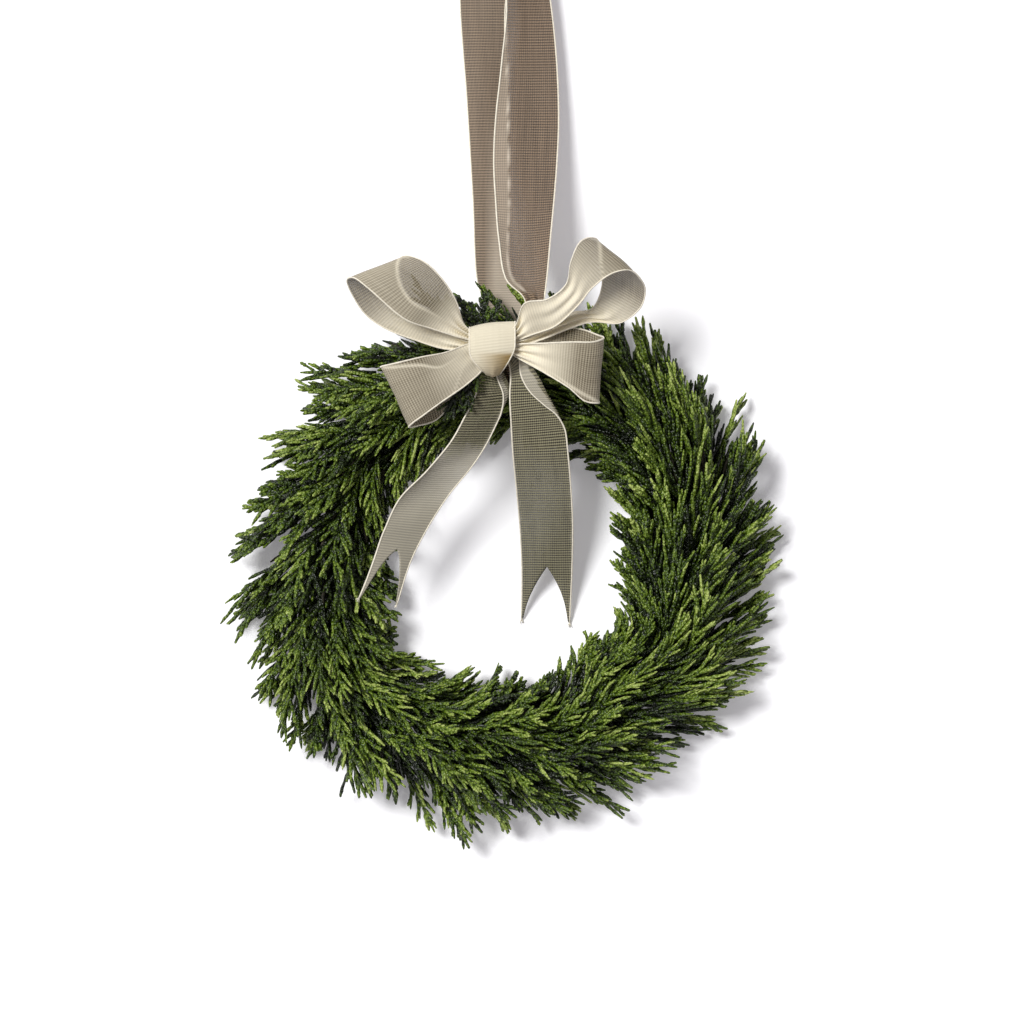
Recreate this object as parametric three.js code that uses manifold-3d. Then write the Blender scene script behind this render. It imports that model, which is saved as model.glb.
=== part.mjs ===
// A small wreath of juniper sprays bound to a wire ring, with a sheer ribbon: a hanging loop,
// a bow of four loops and two swallow-tailed ends. It lies on its back with its face up.
// Millimetres. X runs to the right and Y to the top of the wreath as it is seen, and Z up out of
// its face. The shapes are worked out round the ring's centre, and moved to the part's origin,
// the middle of the whole footprint, at the end.
import * as THREE from 'three';
import { mergeVertices } from 'three/addons/utils/BufferGeometryUtils.js';
import Module from 'manifold-3d';

const wasm = await Module();
wasm.setup();

// Driving dimensions
const RING_RADIUS = 76; // a six-inch wreath ring
const RING_WIRE = 1.5; // radius of the ring's wire
const BINDING_WIRE = 0.5; // radius of the wire that binds the bunches
const GAP = 0.35; // clearance that touching pieces keep
const BUNCHES = 16;
const FIRST_BUNCH = 92; // degrees round the ring from +X
const STEM_BUNDLE = 3; // radius of the bound stems
const RIBBON = 0.7; // thickness of the ribbons' solids
const HOLE_RADIUS = 46; // no twig reaches further in

const STEP = 360 / BUNCHES;
const RING_HEIGHT = 2 * BINDING_WIRE + GAP + RING_WIRE;
const BUNDLE_HEIGHT = RING_HEIGHT + RING_WIRE + GAP + STEM_BUNDLE;
const rad = THREE.MathUtils.degToRad;
const lerp = THREE.MathUtils.lerp;
const vec = (x, y, z) => new THREE.Vector3(x, y, z);

// Turns a closed geometry into a solid that can be joined and cut.
function solid(geometry) {
  for (const name of ['normal', 'uv']) geometry.deleteAttribute(name);
  const merged = mergeVertices(geometry, 1e-3);
  return new wasm.Manifold(new wasm.Mesh({
    numProp: 3,
    vertProperties: merged.attributes.position.array,
    triVerts: new Uint32Array(merged.index.array),
  }));
}

// The geometry of a solid's largest body. Slivers that joining leaves are taken out.
function geometryOf(whole, tolerance) {
  const bodies = whole.decompose().sort((a, b) => b.volume() - a.volume());
  const mesh = bodies[0].simplify(tolerance).getMesh();
  const geometry = new THREE.BufferGeometry();
  geometry.setAttribute('position', new THREE.BufferAttribute(mesh.vertProperties, 3));
  geometry.setIndex(new THREE.BufferAttribute(mesh.triVerts, 1));
  return geometry;
}

// Joins solids and cuts others out of them. The result is merged and sorted into bodies twice,
// because merging its closest points can pinch off a scrap.
function fused(solids, cutters = []) {
  let whole = wasm.Manifold.union(solids);
  for (const cutter of cutters) whole = whole.subtract(cutter);
  const geometry = geometryOf(solid(geometryOf(whole, 0.1)), 0.02);
  geometry.computeVertexNormals();
  return geometry;
}

// Bends a cylinder along a path: ring k of its sides has radius radii[k]. A last radius of 0
// ends it in a point.
function twig(path, radii, sides) {
  const last = path.length - 1;
  const geometry = new THREE.CylinderGeometry(radii[last] ? 1 : 0, 1, 1, sides, last);
  const position = geometry.attributes.position;
  const point = vec();
  for (let i = 0; i < position.count; i++) {
    point.fromBufferAttribute(position, i);
    const k = Math.round((point.y + 0.5) * last);
    const along = path[Math.min(k + 1, last)].clone().sub(path[Math.max(k - 1, 0)]).normalize();
    const side = vec(0, 0, 1).cross(along).normalize();
    const up = side.clone().cross(along);
    const spread = Math.hypot(point.x, point.z);
    const reach = spread > 1e-6 ? radii[k] / spread : 0;
    const moved = path[k].clone()
      .addScaledVector(side, point.x * reach)
      .addScaledVector(up, point.z * reach);
    position.setXYZ(i, moved.x, moved.y, moved.z);
  }
  return geometry;
}

// The ring, and the wire that binds the stems to it

function wireRing() {
  const sides = 5;
  const steps = 36;
  const ring = new THREE.TorusGeometry(RING_RADIUS, RING_WIRE, sides, steps);
  ring.translate(0, 0, RING_HEIGHT);
  return ring;
}

// One point of the binding wire's centre line. Each turn runs up one side of the bound stems,
// over them and down the other side, and then along under the ring to the next bunch.
const TURN_POINTS = 6;
const TURN_HALF_WIDTH = 4.2;
const TURN_TOP = BUNDLE_HEIGHT + STEM_BUNDLE + GAP + BINDING_WIRE;
function bindingPoint(turn, corner) {
  const angle = rad(-60 + (360 / TURN_POINTS) * corner);
  const round = (value) => Math.sign(value) * Math.sqrt(Math.abs(value));
  const squash = round(Math.sin(rad(60)));
  const half = (TURN_TOP - BINDING_WIRE) / 2;
  const across = TURN_HALF_WIDTH * round(Math.cos(angle));
  const height = BINDING_WIRE + half + (half * round(Math.sin(angle))) / squash;
  const advance = corner / (TURN_POINTS - 1);
  const theta = rad(FIRST_BUNCH + STEP * turn + lerp(-1.2, 1.2, advance));
  return vec(Math.cos(theta), Math.sin(theta), 0)
    .multiplyScalar(RING_RADIUS + across).setZ(height);
}

function bindingPath() {
  const points = [];
  for (let turn = 0; turn < BUNCHES; turn++) {
    for (let corner = 0; corner < TURN_POINTS; corner++) points.push(bindingPoint(turn, corner));
  }
  return points;
}

// A square bar swept along the wire's path, flat underneath, where the wreath rests on it.
function bindingWire(path) {
  const last = path.length - 1;
  const bar = new THREE.BoxGeometry(1, 1, 1, 1, 1, last);
  const position = bar.attributes.position;
  const half = BINDING_WIRE / Math.SQRT1_2 / 2 + 0.1;
  for (let i = 0; i < position.count; i++) {
    const k = Math.round((position.getZ(i) + 0.5) * last);
    const here = path[k];
    const along = path[Math.min(k + 1, last)].clone().sub(path[Math.max(k - 1, 0)]).normalize();
    const across = THREE.MathUtils.clamp(Math.hypot(here.x, here.y) - RING_RADIUS, -3.2, 3.2);
    const centre = vec(here.x, here.y, 0).setLength(RING_RADIUS + across).setZ(TURN_TOP / 2);
    const out = here.clone().sub(centre);
    out.addScaledVector(along, -out.dot(along)).normalize();
    const side = out.clone().cross(along);
    const moved = here.clone()
      .addScaledVector(side, position.getX(i) * 2 * half)
      .addScaledVector(out, position.getY(i) * 2 * half);
    position.setXYZ(i, moved.x, moved.y, moved.z);
  }
  return bar;
}

// The ribbons

// A ribbon is held by its two edges. Each station is the left edge's x, y, z, the right edge's
// x, y, z, and how far the middle stands out between them.
class Ribbon {
  constructor(stations, notches = [0, 0]) {
    const edge = (at) => new THREE.CatmullRomCurve3(
      stations.map((s) => vec(s[at], s[at + 1], s[at + 2])), false, 'centripetal');
    this.left = edge(0);
    this.right = edge(3);
    this.bulges = stations.map((s) => s[6] ?? 0);
    this.notches = notches;
  }

  flat(t, u) {
    const length = this.bulges.length - 1;
    const k = Math.min(Math.floor(t * length), length - 1);
    const bulge = lerp(this.bulges[k], this.bulges[k + 1], t * length - k);
    return { point: this.left.getPoint(t).lerp(this.right.getPoint(t), u), bulge };
  }

  // The ribbon's middle surface at t along it and u across it.
  at(t, u) {
    const { point, bulge } = this.flat(t, u);
    if (!bulge) return point;
    const step = 0.004;
    const along = this.flat(Math.min(t + step, 1), 0.5).point
      .sub(this.flat(Math.max(t - step, 0), 0.5).point);
    const across = this.right.getPoint(t).sub(this.left.getPoint(t));
    return point.addScaledVector(across.cross(along).normalize(), bulge * 4 * u * (1 - u));
  }

  // A swallow-tailed end is cut back most in the middle.
  trimmed(t, u) {
    const cut = 1 - Math.abs(2 * u - 1);
    return lerp(this.notches[0] * cut, 1 - this.notches[1] * cut, t);
  }

  geometry(alongSteps, acrossSteps) {
    const bar = new THREE.BoxGeometry(1, 1, 1, acrossSteps, 1, alongSteps);
    const position = bar.attributes.position;
    const step = 0.003;
    for (let i = 0; i < position.count; i++) {
      const u = position.getX(i) + 0.5;
      const t = this.trimmed(position.getZ(i) + 0.5, u);
      const along = this.at(Math.min(t + step, 1), u).sub(this.at(Math.max(t - step, 0), u));
      const across = this.at(t, Math.min(u + 0.1, 1)).sub(this.at(t, Math.max(u - 0.1, 0)));
      const moved = this.at(t, u)
        .addScaledVector(along.cross(across).normalize(), position.getY(i) * RIBBON);
      position.setXYZ(i, moved.x, moved.y, moved.z);
    }
    return bar;
  }

  // Bars across the ribbon that the twigs keep clear of.
  bars(count) {
    return Array.from({ length: count + 1 }, (_, i) => {
      const t = i / count;
      return [this.at(t, 0), this.at(t, 0.5), this.at(t, 1)];
    });
  }
}

// The hanging loop: up from the knot as the front strand, over, down behind as the back strand,
// under the ring, up through the hole and over the crown back to the knot.
const hanger = new Ribbon([
  [-9, 90, 47.6, 2, 90, 47.6],
  [-4, 104, 47.8, 8, 104, 47.8],
  [5.5, 116, 47, 15, 116, 47],
  [-0.6, 124.7, 43.5, 16.6, 124.7, 43.5, -3],
  [-3.9, 142, 34, 18.2, 142, 34, -2.5],
  [-5.3, 159, 25, 19.8, 159, 25, -1],
  [-6.1, 176, 18, 21.1, 176, 18],
  [-5.3, 193.5, 13.5, 21.8, 193.5, 13.5],
  [-2.6, 219, 10.5, 20.9, 219, 10.5, -1],
  [-0.6, 245, 10.5, 18.2, 245, 10.5, -2],
  [-4, 262, 11.5, 15, 262, 11.5, -1],
  [-9, 271, 9.8, 11.5, 271, 9.8],
  [-13, 274, 5.7, 9, 274, 5.7],
  [-16.5, 270, 1.7, 6, 270, 1.7],
  [-20, 260, 0.7, 3, 260, 0.7],
  [-20.6, 245, 0.6, -0.9, 245, 0.6, -0.5],
  [-17.6, 202, 0.6, -0.2, 202, 0.6, -2],
  [-15, 159, 0.6, 0.3, 159, 0.6, -2],
  [-13.2, 124.7, 0.6, 0.5, 124.7, 0.6, -0.5],
  [-8, 108, 0.6, 5, 108, 0.6],
  [2, 92, 0.6, 13.5, 92, 0.6],
  [6.5, 76, 0.6, 17, 76, 0.6],
  [6.5, 58, 0.7, 17, 58, 0.7],
  [6.5, 47.5, 1.1, 17, 47.5, 1.1],
  [6.5, 43, 5, 17, 43, 5],
  [6.5, 42.5, 16, 17, 42.5, 16],
  [6.5, 43.5, 27, 17, 43.5, 27],
  [6.5, 48, 36, 17, 48, 36],
  [6.5, 58, 42, 17, 58, 42],
  [3, 72, 45, 14, 72, 45],
  [-5, 86, 46.2, 6, 86, 46.2],
  [-9, 95, 46.3, 2, 95, 46.3],
]);

// The two tails, one length laid over under the knot.
const tails = new Ribbon([
  [-64, -12, 38, -48, -15, 17],
  [-57, 6, 41, -41.5, 4.5, 20],
  [-53, 17.5, 43, -36, 15.5, 22.5],
  [-46, 31.5, 45, -26, 31.5, 27],
  [-35, 42.5, 47.5, -16, 44, 32],
  [-25, 54.5, 50, -9, 54.5, 39],
  [-18.5, 66, 51, -4, 66, 44],
  [-14, 75, 50.6, -2, 75, 47],
  [-12.5, 87, 49.5, -5, 84, 49.1],
  [-9, 98, 49.25, -4.5, 90, 49.25],
  [-1, 99, 49.25, -1, 90.5, 49.25],
  [5, 95.5, 49.25, 0.5, 88, 49.25],
  [10.5, 85, 49.4, 0.8, 83.5, 49],
  [15, 76, 49, 0.6, 76, 48.6],
  [20.5, 66.5, 47.6, 1, 66, 47.2],
  [25, 60.5, 45.4, 1, 60, 45.4],
  [26, 50, 41.5, 2, 50, 41.5],
  [27, 36, 34, 3.5, 36, 34],
  [27.8, 20, 24.5, 5, 20, 24.5],
  [27.5, 0, 12.5, 6, 0, 12.5],
  [26.5, -22.5, 1.2, 5.8, -20.5, 1.2],
], [0.09, 0.1]);

// The bow's loops: out over the front, round the fold and back underneath.
const HEART = vec(-7, 97, 56); // the gathered middle of the bow
const HEART_SIZE = vec(12, 9.2, 4.7);
const heartStation = [HEART.x, HEART.y - 2, HEART.z, HEART.x, HEART.y + 2, HEART.z];
const bowLoops = {
  upperLeft: new Ribbon([
    heartStation,
    [-17.5, 99, 57.5, -17.5, 104, 57],
    [-33.5, 104, 63, -23, 117, 66],
    [-44.5, 108, 68, -29, 126, 71],
    [-59.8, 121, 70, -36, 132.5, 73],
    [-66.2, 125.7, 68, -42.5, 134.8, 71],
    [-69.2, 124.5, 61.5, -46.4, 134.2, 64.5],
    [-66.7, 118, 55, -47.5, 129, 58],
    [-61, 109.6, 51.5, -46.4, 122.6, 55.5],
    [-53, 104, 51, -41.5, 115, 54.5],
    [-40, 99, 51.5, -33.5, 110.5, 54.5],
    [-27, 95, 53, -23, 105, 54.5],
    [-17.5, 95, 54, -17.5, 100, 54.5],
    heartStation,
  ]),
  lowerLeft: new Ribbon([
    heartStation,
    [-17.5, 91, 57, -17.5, 97, 58.5],
    [-20.5, 79, 60.5, -27, 93.5, 62],
    [-29, 72, 64, -37, 91.6, 66],
    [-36.5, 66.5, 64.5, -48, 89, 66.5],
    [-41.3, 63, 61.5, -53.8, 87.6, 63.5],
    [-42.2, 61.5, 56.5, -55, 87, 58],
    [-39, 62, 53, -51, 86.8, 53.5],
    [-31, 64.5, 52, -37.5, 87.7, 52.5],
    [-25, 71.5, 52.3, -29, 87, 52.7],
    [-17.5, 89.5, 54, -17.5, 94.5, 54.5],
    heartStation,
  ]),
  upperRight: new Ribbon([
    heartStation,
    [3, 103.5, 58, 3.5, 99, 58.5],
    [7, 114.5, 64, 11.6, 101.5, 60],
    [17, 116.5, 67, 20.6, 105, 63],
    [25, 123, 70, 31, 114.6, 66.5],
    [27, 132.5, 74, 36, 121, 69.5],
    [31, 141, 76, 45, 127.7, 72],
    [35.3, 143, 74.5, 52.5, 129, 71.5],
    [38.7, 141.9, 68.5, 57.2, 125, 65],
    [39.6, 132.5, 61, 59, 119.5, 58.5],
    [40.4, 121.7, 56, 56.8, 112.7, 54.5],
    [36, 112.2, 54, 48, 106.2, 53],
    [28, 110.8, 54, 35, 106.5, 53],
    [3, 100, 55.5, 3.5, 96, 56],
    heartStation,
  ]),
  lowerRight: new Ribbon([
    heartStation,
    [3, 97, 57.5, 3.5, 91.5, 57],
    [16.5, 97.6, 62, 16, 84.7, 59.5],
    [27.5, 98, 66, 25.8, 78.7, 62.5],
    [36, 98, 66, 33, 72.7, 62],
    [40, 99, 63.5, 37.8, 71.8, 59.5],
    [41.3, 100, 58.5, 39, 72.2, 54.5],
    [38.7, 101, 53.5, 37, 73, 51],
    [31, 103.6, 52, 28.8, 77.4, 50.5],
    [20, 103.6, 52.3, 18, 85, 51.8],
    [3, 96, 54.5, 3.5, 91.5, 54.5],
    heartStation,
  ]),
};

function bow(cutter) {
  const heart = new THREE.SphereGeometry(1, 10, 6);
  heart.scale(HEART_SIZE.x, HEART_SIZE.y, HEART_SIZE.z);
  heart.translate(HEART.x, HEART.y, HEART.z);
  const loops = Object.values(bowLoops).map((loop) => solid(loop.geometry(15, 2)));
  return fused([solid(heart), ...loops], [cutter]);
}

// The band round the gathered middle: an oval tube along X, narrower at the bottom.
function knotBand(grow) {
  const steps = 14;
  const outer = [10.6 + grow, 6.1 + grow];
  const inner = [10.6 - RIBBON - grow, 6.1 - RIBBON - grow];
  const profile = (sizes) => Array.from({ length: steps }, (_, i) => {
    const angle = (2 * Math.PI * i) / steps;
    return new THREE.Vector2(sizes[0] * Math.cos(angle), sizes[1] * Math.sin(angle));
  });
  const shape = new THREE.Shape(profile(outer));
  shape.holes.push(new THREE.Path(profile(inner).reverse()));
  const width = 20 + 2 * grow;
  const band = new THREE.ExtrudeGeometry(shape, { depth: width, bevelEnabled: false, steps: 1 });
  band.applyMatrix4(new THREE.Matrix4().makeBasis(vec(0, 1, 0), vec(0, 0, 1), vec(1, 0, 0)));
  band.translate(HEART.x - width / 2, HEART.y, HEART.z);
  return band;
}

// The juniper

// Repeatable random numbers: the same seed always gives the same wreath.
class Draw {
  constructor(seed) {
    this.state = seed;
  }

  between(low, high) {
    this.state = (this.state * 1664525 + 1013904223) % 4294967296;
    return low + ((high - low) * this.state) / 4294967296;
  }
}

// A bunch fans out from its bound stems into seven sprays that shingle over the next bunch, from
// the outside of the ring over the crown to the inside: where each heads across the ring's run
// (splay, out is positive) and how steeply it climbs, at its root and at its tip, in degrees,
// and its length.
const SPRAYS = [
  { splay: [34, 58], climb: [-4, 0], length: 50 },
  { splay: [26, 50], climb: [12, 2], length: 60 },
  { splay: [14, 36], climb: [26, 8], length: 68 },
  { splay: [0, 14], climb: [36, 10], length: 72 },
  { splay: [-12, -26], climb: [28, 6], length: 58 },
  { splay: [-26, -40], climb: [12, 0], length: 41 },
  { splay: [-36, -50], climb: [-3, 0], length: 30 },
];
const SPRAY_STEPS = 3;
const CORE = [2.8, 4.2, 4, 1]; // thickness of a spray's slim core from root to tip
const WEB = 0.48; // how far out the cores of a bunch's sprays have grown together
const TWIG_RADIUS = 1.2;
const OWN_CLEARANCE = 2.5; // how near a twig's outer half comes to the rest of its bunch
const FLOOR = 0.6; // twigs stay above the binding wire's feet

// Steps along a heading that turns with the ring.
function run(start, splay, climb, length, steps) {
  const points = [start.clone()];
  const here = start.clone();
  const substeps = 3;
  const stride = length / steps / substeps;
  for (let i = 0; i < steps * substeps; i++) {
    const share = (i + 0.5) / (steps * substeps);
    const across = rad(lerp(splay[0], splay[1], share));
    const rise = rad(lerp(climb[0], climb[1], share));
    const out = vec(here.x, here.y, 0).normalize();
    here.addScaledVector(out, Math.sin(across) * Math.cos(rise) * stride)
      .addScaledVector(vec(-out.y, out.x, 0), Math.cos(across) * Math.cos(rise) * stride)
      .addScaledVector(vec(0, 0, 1), Math.sin(rise) * stride);
    if ((i + 1) % substeps === 0) points.push(here.clone());
  }
  return points;
}

// The shortest distance between two straight stretches.
function distance(a, b, c, d) {
  const ab = b.clone().sub(a);
  const cd = d.clone().sub(c);
  const ca = a.clone().sub(c);
  const aa = ab.dot(ab);
  const cc = cd.dot(cd);
  const f = cd.dot(ca);
  const g = ab.dot(ca);
  const h = ab.dot(cd);
  const flat = aa * cc - h * h;
  let s = flat > 1e-9 ? THREE.MathUtils.clamp((h * f - g * cc) / flat, 0, 1) : 0;
  let t = (h * s + f) / cc;
  if (t < 0) {
    t = 0;
    s = THREE.MathUtils.clamp(-g / aa, 0, 1);
  } else if (t > 1) {
    t = 1;
    s = THREE.MathUtils.clamp((h - g) / aa, 0, 1);
  }
  return ab.multiplyScalar(s).add(a).distanceTo(cd.multiplyScalar(t).add(c));
}

// The straight stretches that a new twig has to keep clear of, each with its bunch or ribbon.
const taken = [];
function claim(path, radius, owner) {
  for (let i = 1; i < path.length; i++) taken.push({ a: path[i - 1], b: path[i], radius, owner });
}

// A twig is clear of all the rest by the gap. Near its root it may touch its own bunch, and from
// there on it stays out of it.
function isClear([root, tip], radius, owner) {
  if (tip.z - radius < FLOOR || Math.hypot(tip.x, tip.y) < HOLE_RADIUS) return false;
  const free = root.clone().lerp(tip, 0.42);
  const near = root.distanceTo(tip) + 16;
  for (const other of taken) {
    if (Math.abs(other.a.x - root.x) > near || Math.abs(other.a.y - root.y) > near) continue;
    const own = other.owner === owner;
    const least = own ? OWN_CLEARANCE : radius + other.radius + GAP;
    if (distance(own ? free : root, tip, other.a, other.b) < least) return false;
  }
  return true;
}

// The cores of a bunch's sprays, as a surface: u runs along its lines and v from the outside to the
// inside. Its even lines are the sprays and its odd lines the crotches between them.
class Fan {
  constructor(lines) {
    this.lines = lines.map((line) => new THREE.CatmullRomCurve3(line));
  }

  at(u, v) {
    const across = v * (this.lines.length - 1);
    const k = Math.min(Math.floor(across), this.lines.length - 2);
    return this.lines[k].getPoint(u).lerp(this.lines[k + 1].getPoint(u), across - k);
  }

  // The directions along the lines, across them and out of the upper face.
  frame(u, v) {
    const step = 0.02;
    const along = this.at(Math.min(u + step, 1), v).sub(this.at(Math.max(u - step, 0), v));
    const across = this.at(u, Math.min(v + step, 1)).sub(this.at(u, Math.max(v - step, 0)));
    const up = along.clone().cross(across).normalize();
    return { along: along.normalize(), across: across.normalize(), up };
  }

  geometry() {
    const bar = new THREE.BoxGeometry(1, 1, 1, this.lines.length - 1, 1, SPRAY_STEPS);
    const position = bar.attributes.position;
    for (let i = 0; i < position.count; i++) {
      const u = position.getZ(i) + 0.5;
      const v = 0.5 + position.getX(i);
      const thickness = CORE[Math.round(u * SPRAY_STEPS)];
      const moved = this.at(u, v)
        .addScaledVector(this.frame(u, v).up, position.getY(i) * thickness);
      position.setXYZ(i, moved.x, moved.y, moved.z);
    }
    return bar;
  }
}

// A twig leaves its spray at a lean from its run, turned about it by roll.
function twigPath(fan, u, v, lean, roll, length) {
  const { along, across, up } = fan.frame(u, v);
  const heading = along.multiplyScalar(Math.cos(rad(lean)))
    .addScaledVector(across, Math.cos(rad(roll)) * Math.sin(rad(lean)))
    .addScaledVector(up, Math.sin(rad(roll)) * Math.sin(rad(lean)));
  const root = fan.at(u, v);
  return [root, root.clone().addScaledVector(heading, length)];
}

// The first clear way to grow a twig: leaning and turned otherwise, and shorter if it has to be.
function grow(fan, { u, v, lean, roll, length }, owner) {
  for (const cut of [1, 0.85, 0.7]) {
    for (const turn of [0, 25, -25, 50, -50]) {
      for (const more of [0, -6, 8]) {
        const path = twigPath(fan, u, v, lean + more, roll + turn, length * cut);
        if (isClear(path, TWIG_RADIUS, owner)) return path;
      }
    }
  }
  return null;
}

function bundlePath(theta) {
  return [-7, 7].map((s) => {
    const angle = rad(theta) + s / RING_RADIUS;
    return vec(RING_RADIUS * Math.cos(angle), RING_RADIUS * Math.sin(angle), BUNDLE_HEIGHT);
  });
}

function fanOf(theta, draw) {
  const angle = rad(theta) + 4 / RING_RADIUS;
  const count = 2 * SPRAYS.length - 1;
  return new Fan(Array.from({ length: count }, (_, k) => {
    const [spray, next] = [SPRAYS[Math.floor(k / 2)], SPRAYS[Math.ceil(k / 2)]];
    const mean = (key) => [0, 1].map((end) => (spray[key][end] + next[key][end]) / 2);
    const reach = ((spray.length + next.length) / 2) * (k % 2 ? WEB : 1);
    const arch = rad(lerp(-20, 200, k / (count - 1)));
    const start = vec(Math.cos(angle), Math.sin(angle), 0)
      .multiplyScalar(RING_RADIUS + 2.2 * Math.cos(arch))
      .setZ(BUNDLE_HEIGHT + 1.6 * Math.sin(arch) - 0.4 * (k % 2));
    const length = reach * draw.between(0.94, 1.06);
    return run(start, mean('splay'), mean('climb'), length, SPRAY_STEPS);
  }));
}

// Where the twigs of a bunch stand: to both sides of each spray, and on its face.
function twigSeats(draw) {
  const seats = [];
  for (const [u, lift, length] of [[0.7, 10, 17], [0.48, 35, 20]]) {
    for (const side of [1, -1]) {
      SPRAYS.forEach((_, k) => {
        const v = THREE.MathUtils.clamp(k / (SPRAYS.length - 1), 0.01, 0.99);
        const roll = 90 - side * (90 - lift + draw.between(-25, 25));
        const at = u + draw.between(-0.04, 0.04);
        seats.push({ u: at, v, lean: 27, roll, length: length + draw.between(-2, 3) });
      });
    }
  }
  for (let k = 0; k < 5; k++) {
    const roll = (k % 2 ? 90 : -90) + draw.between(-40, 40);
    const v = (k + 0.5) / 5;
    seats.push({ u: draw.between(0.6, 0.8), v, lean: 22, roll, length: draw.between(17, 22) });
  }
  return seats;
}

function juniper() {
  const bunches = Array.from({ length: BUNCHES }, (_, i) => {
    const theta = FIRST_BUNCH + STEP * i;
    const draw = new Draw(101 + 37 * i);
    const bundle = bundlePath(theta);
    const fan = fanOf(theta, draw);
    claim(bundle, STEM_BUNDLE, i);
    for (let u = 0; u <= 12; u++) {
      const across = fan.lines.map((line) => line.getPoint(u / 12));
      claim(across, 1.7, i);
    }
    return { i, bundle, fan, seats: twigSeats(draw), twigs: [] };
  });
  for (let k = 0; k < bunches[0].seats.length; k++) {
    for (const { i, fan, seats, twigs } of bunches) {
      const path = grow(fan, seats[k], i);
      if (!path) continue;
      claim(path, TWIG_RADIUS, i);
      twigs.push(path);
    }
  }
  return bunches;
}

function bunchGeometry({ bundle, fan, twigs }) {
  const parts = [twig(bundle, [STEM_BUNDLE, STEM_BUNDLE], 6), fan.geometry()];
  for (const path of twigs) parts.push(twig(path, [TWIG_RADIUS * 0.85, 0], 3));
  return fused(parts.map(solid));
}

// The pieces in place

const materials = {
  ring: { color: 0x3a3d3a, roughness: 0.45, metalness: 0.8 },
  binding: { color: 0x2e4a2a, roughness: 0.5, metalness: 0.4 },
  juniper: { color: 0x3f5a24, roughness: 0.7, metalness: 0 },
  hanger: { color: 0xa59684, roughness: 0.8, metalness: 0 },
  bow: { color: 0xd9cfb8, roughness: 0.8, metalness: 0 },
};

function piece(name, geometry, finish) {
  const mesh = new THREE.Mesh(geometry, new THREE.MeshStandardMaterial(materials[finish]));
  mesh.name = name;
  return mesh;
}

const wreath = new THREE.Group();
const binding = bindingPath();
claim(binding, BINDING_WIRE, 'binding');
for (const ribbon of [hanger, tails, ...Object.values(bowLoops)]) {
  for (const bar of ribbon.bars(90)) claim(bar, 1.2, 'ribbon');
}
for (let i = 0; i < 40; i++) {
  const [a, b] = [i, i + 1].map((k) => {
    const angle = rad(9 * k);
    return vec(RING_RADIUS * Math.cos(angle), RING_RADIUS * Math.sin(angle), RING_HEIGHT);
  });
  claim([a, b], RING_WIRE, 'ring');
}

wreath.add(piece('wire_ring', wireRing(), 'ring'));
wreath.add(piece('binding_wire', bindingWire(binding), 'binding'));
wreath.add(piece('ribbon_hanger', hanger.geometry(60, 2), 'hanger'));
wreath.add(piece('ribbon_tails', tails.geometry(34, 2), 'bow'));
wreath.add(piece('ribbon_bow', bow(solid(knotBand(GAP))), 'bow'));
wreath.add(piece('ribbon_knot', knotBand(0), 'bow'));
for (const bunch of juniper()) {
  const name = `bunch_${String(bunch.i + 1).padStart(2, '0')}`;
  wreath.add(piece(name, bunchGeometry(bunch), 'juniper'));
}

// The part's origin is under the middle of its footprint.
const box = new THREE.Box3().setFromObject(wreath);
const middle = box.getCenter(vec());
wreath.position.set(-middle.x, -middle.y, -box.min.z);

export default wreath;
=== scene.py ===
import math

import bmesh
import bpy
from mathutils import Matrix, Vector, noise
from mathutils.bvhtree import BVHTree
from mathutils.kdtree import KDTree


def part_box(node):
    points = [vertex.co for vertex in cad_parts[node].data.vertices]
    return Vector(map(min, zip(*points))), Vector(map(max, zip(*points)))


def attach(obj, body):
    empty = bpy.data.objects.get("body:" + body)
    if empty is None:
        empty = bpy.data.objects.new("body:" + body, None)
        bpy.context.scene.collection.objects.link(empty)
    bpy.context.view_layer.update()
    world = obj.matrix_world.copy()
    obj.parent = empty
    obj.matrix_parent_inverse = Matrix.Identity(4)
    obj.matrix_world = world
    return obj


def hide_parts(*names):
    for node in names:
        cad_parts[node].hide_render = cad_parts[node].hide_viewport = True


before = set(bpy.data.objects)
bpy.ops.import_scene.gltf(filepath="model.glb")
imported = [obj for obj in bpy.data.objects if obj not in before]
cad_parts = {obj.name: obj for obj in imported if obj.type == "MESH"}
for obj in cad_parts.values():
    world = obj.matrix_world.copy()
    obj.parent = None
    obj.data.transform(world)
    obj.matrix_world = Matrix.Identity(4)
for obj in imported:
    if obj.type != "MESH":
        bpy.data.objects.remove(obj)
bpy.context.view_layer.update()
scene = bpy.context.scene

# The view is straight down on the wreath's face, from as far off as a long lens stands. The middle
# of the picture lies a little above the middle of the wreath.
MM = 0.001
RING_HEIGHT = 2.85  # of the wire's middle over the floor
PICTURE_MIDDLE = (1.72, 24.94)
LENS = 200
STAND_OFF = 2446  # from the camera down to WREATH_HEIGHT
WREATH_HEIGHT = 30  # where the ribbons' outlines are given at their true size

ring_low, ring_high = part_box("wire_ring")
ring_centre = (ring_low + ring_high) / 2


def place(point):
    """A point in millimetres, from the floor under the ring's centre, put in the frame."""
    return ring_centre + (Vector(point) - Vector((0, 0, RING_HEIGHT))) * MM


camera = bpy.data.objects.new("camera", bpy.data.cameras.new("camera"))
camera.data.lens = LENS
camera.location = place((*PICTURE_MIDDLE, WREATH_HEIGHT + STAND_OFF))
scene.collection.objects.link(camera)
scene.camera = camera
scene.view_settings.view_transform = "Standard"

# The studio: a white floor, a white surround that fills the shadows, and one broad lamp high at the
# upper left, whose soft shadows fall to the lower right.
FLOOR_SIDE = 8.0
SURROUND = 0.38
SHADE_TINT = (0.98, 0.95, 1.0)
LAMP_STRENGTH = 3.3
LAMP_SPREAD = 20  # degrees across, as seen from the wreath
LAMP_FROM = (-0.50, 0.36, 1.0)
FLOOR_GLOW = 0.14  # keeps the shadows on the paper as pale as in a studio tent


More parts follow.
